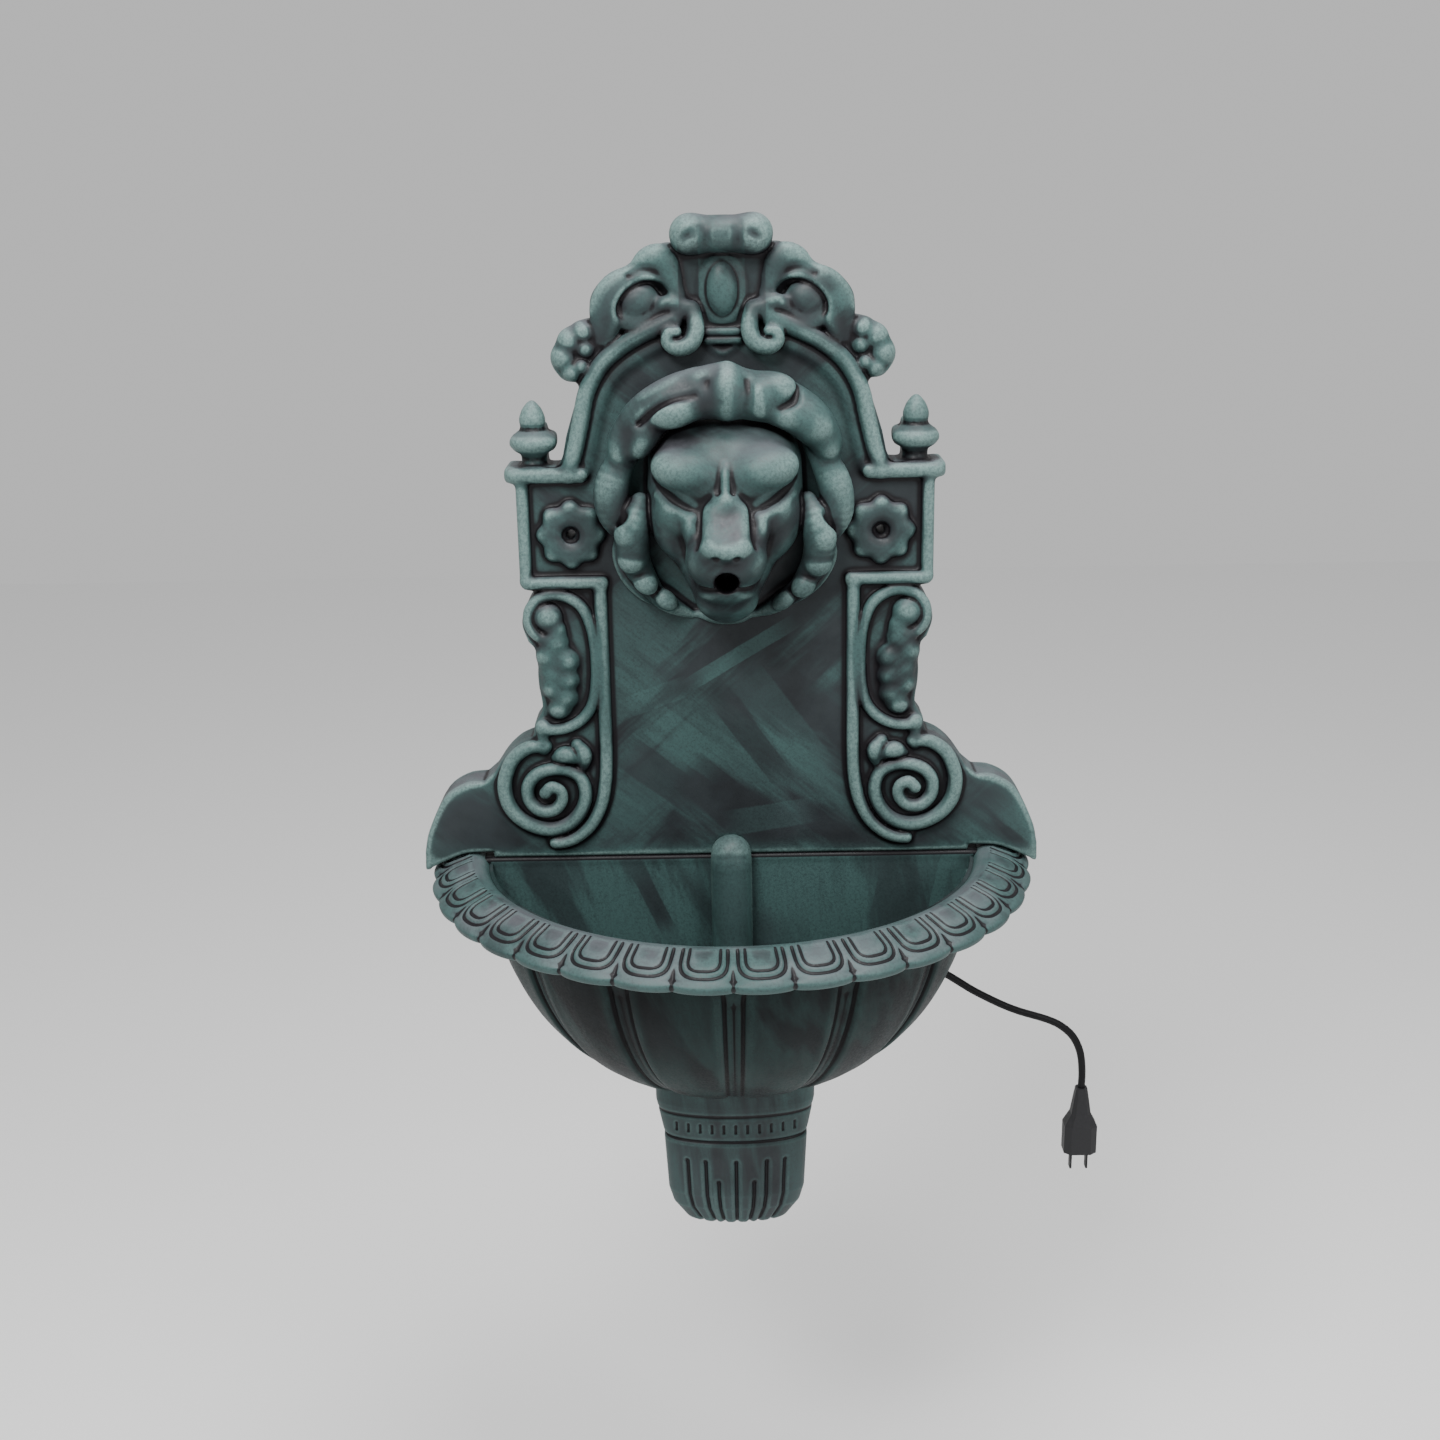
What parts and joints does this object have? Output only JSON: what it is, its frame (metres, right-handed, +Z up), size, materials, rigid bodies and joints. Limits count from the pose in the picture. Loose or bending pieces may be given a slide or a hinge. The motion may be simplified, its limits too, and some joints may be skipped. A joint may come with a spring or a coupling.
{
  "type": "wall fountain",
  "caption": "Wall fountain: a cast lion-mask back plate with crest and scrolls over a half-round scalloped basin with a drum pendant and a coiled lead.",
  "frame": {"origin": "on the wall plane, midway between the two screw holes of the back plate", "axes": "+X to the right as seen from the front, +Y into the wall, +Z up"},
  "size_m": [0.5235, 0.2418, 0.7805],
  "materials": {
    "plate": "satin verdigris brushed over near-black",
    "basin": "satin verdigris brushed over near-black",
    "rubber": "matt black",
    "lead": "satin black sheath",
    "plug": "moulded black"
  },
  "bodies": {
    "root": {"back_plate": "plate", "basin": "basin", "cord_grommet": "rubber", "cord_inner": "lead", "cord_coil": "lead", "cord_outer": "lead", "cord_plug": "plug"}
  },
  "joints": []
}
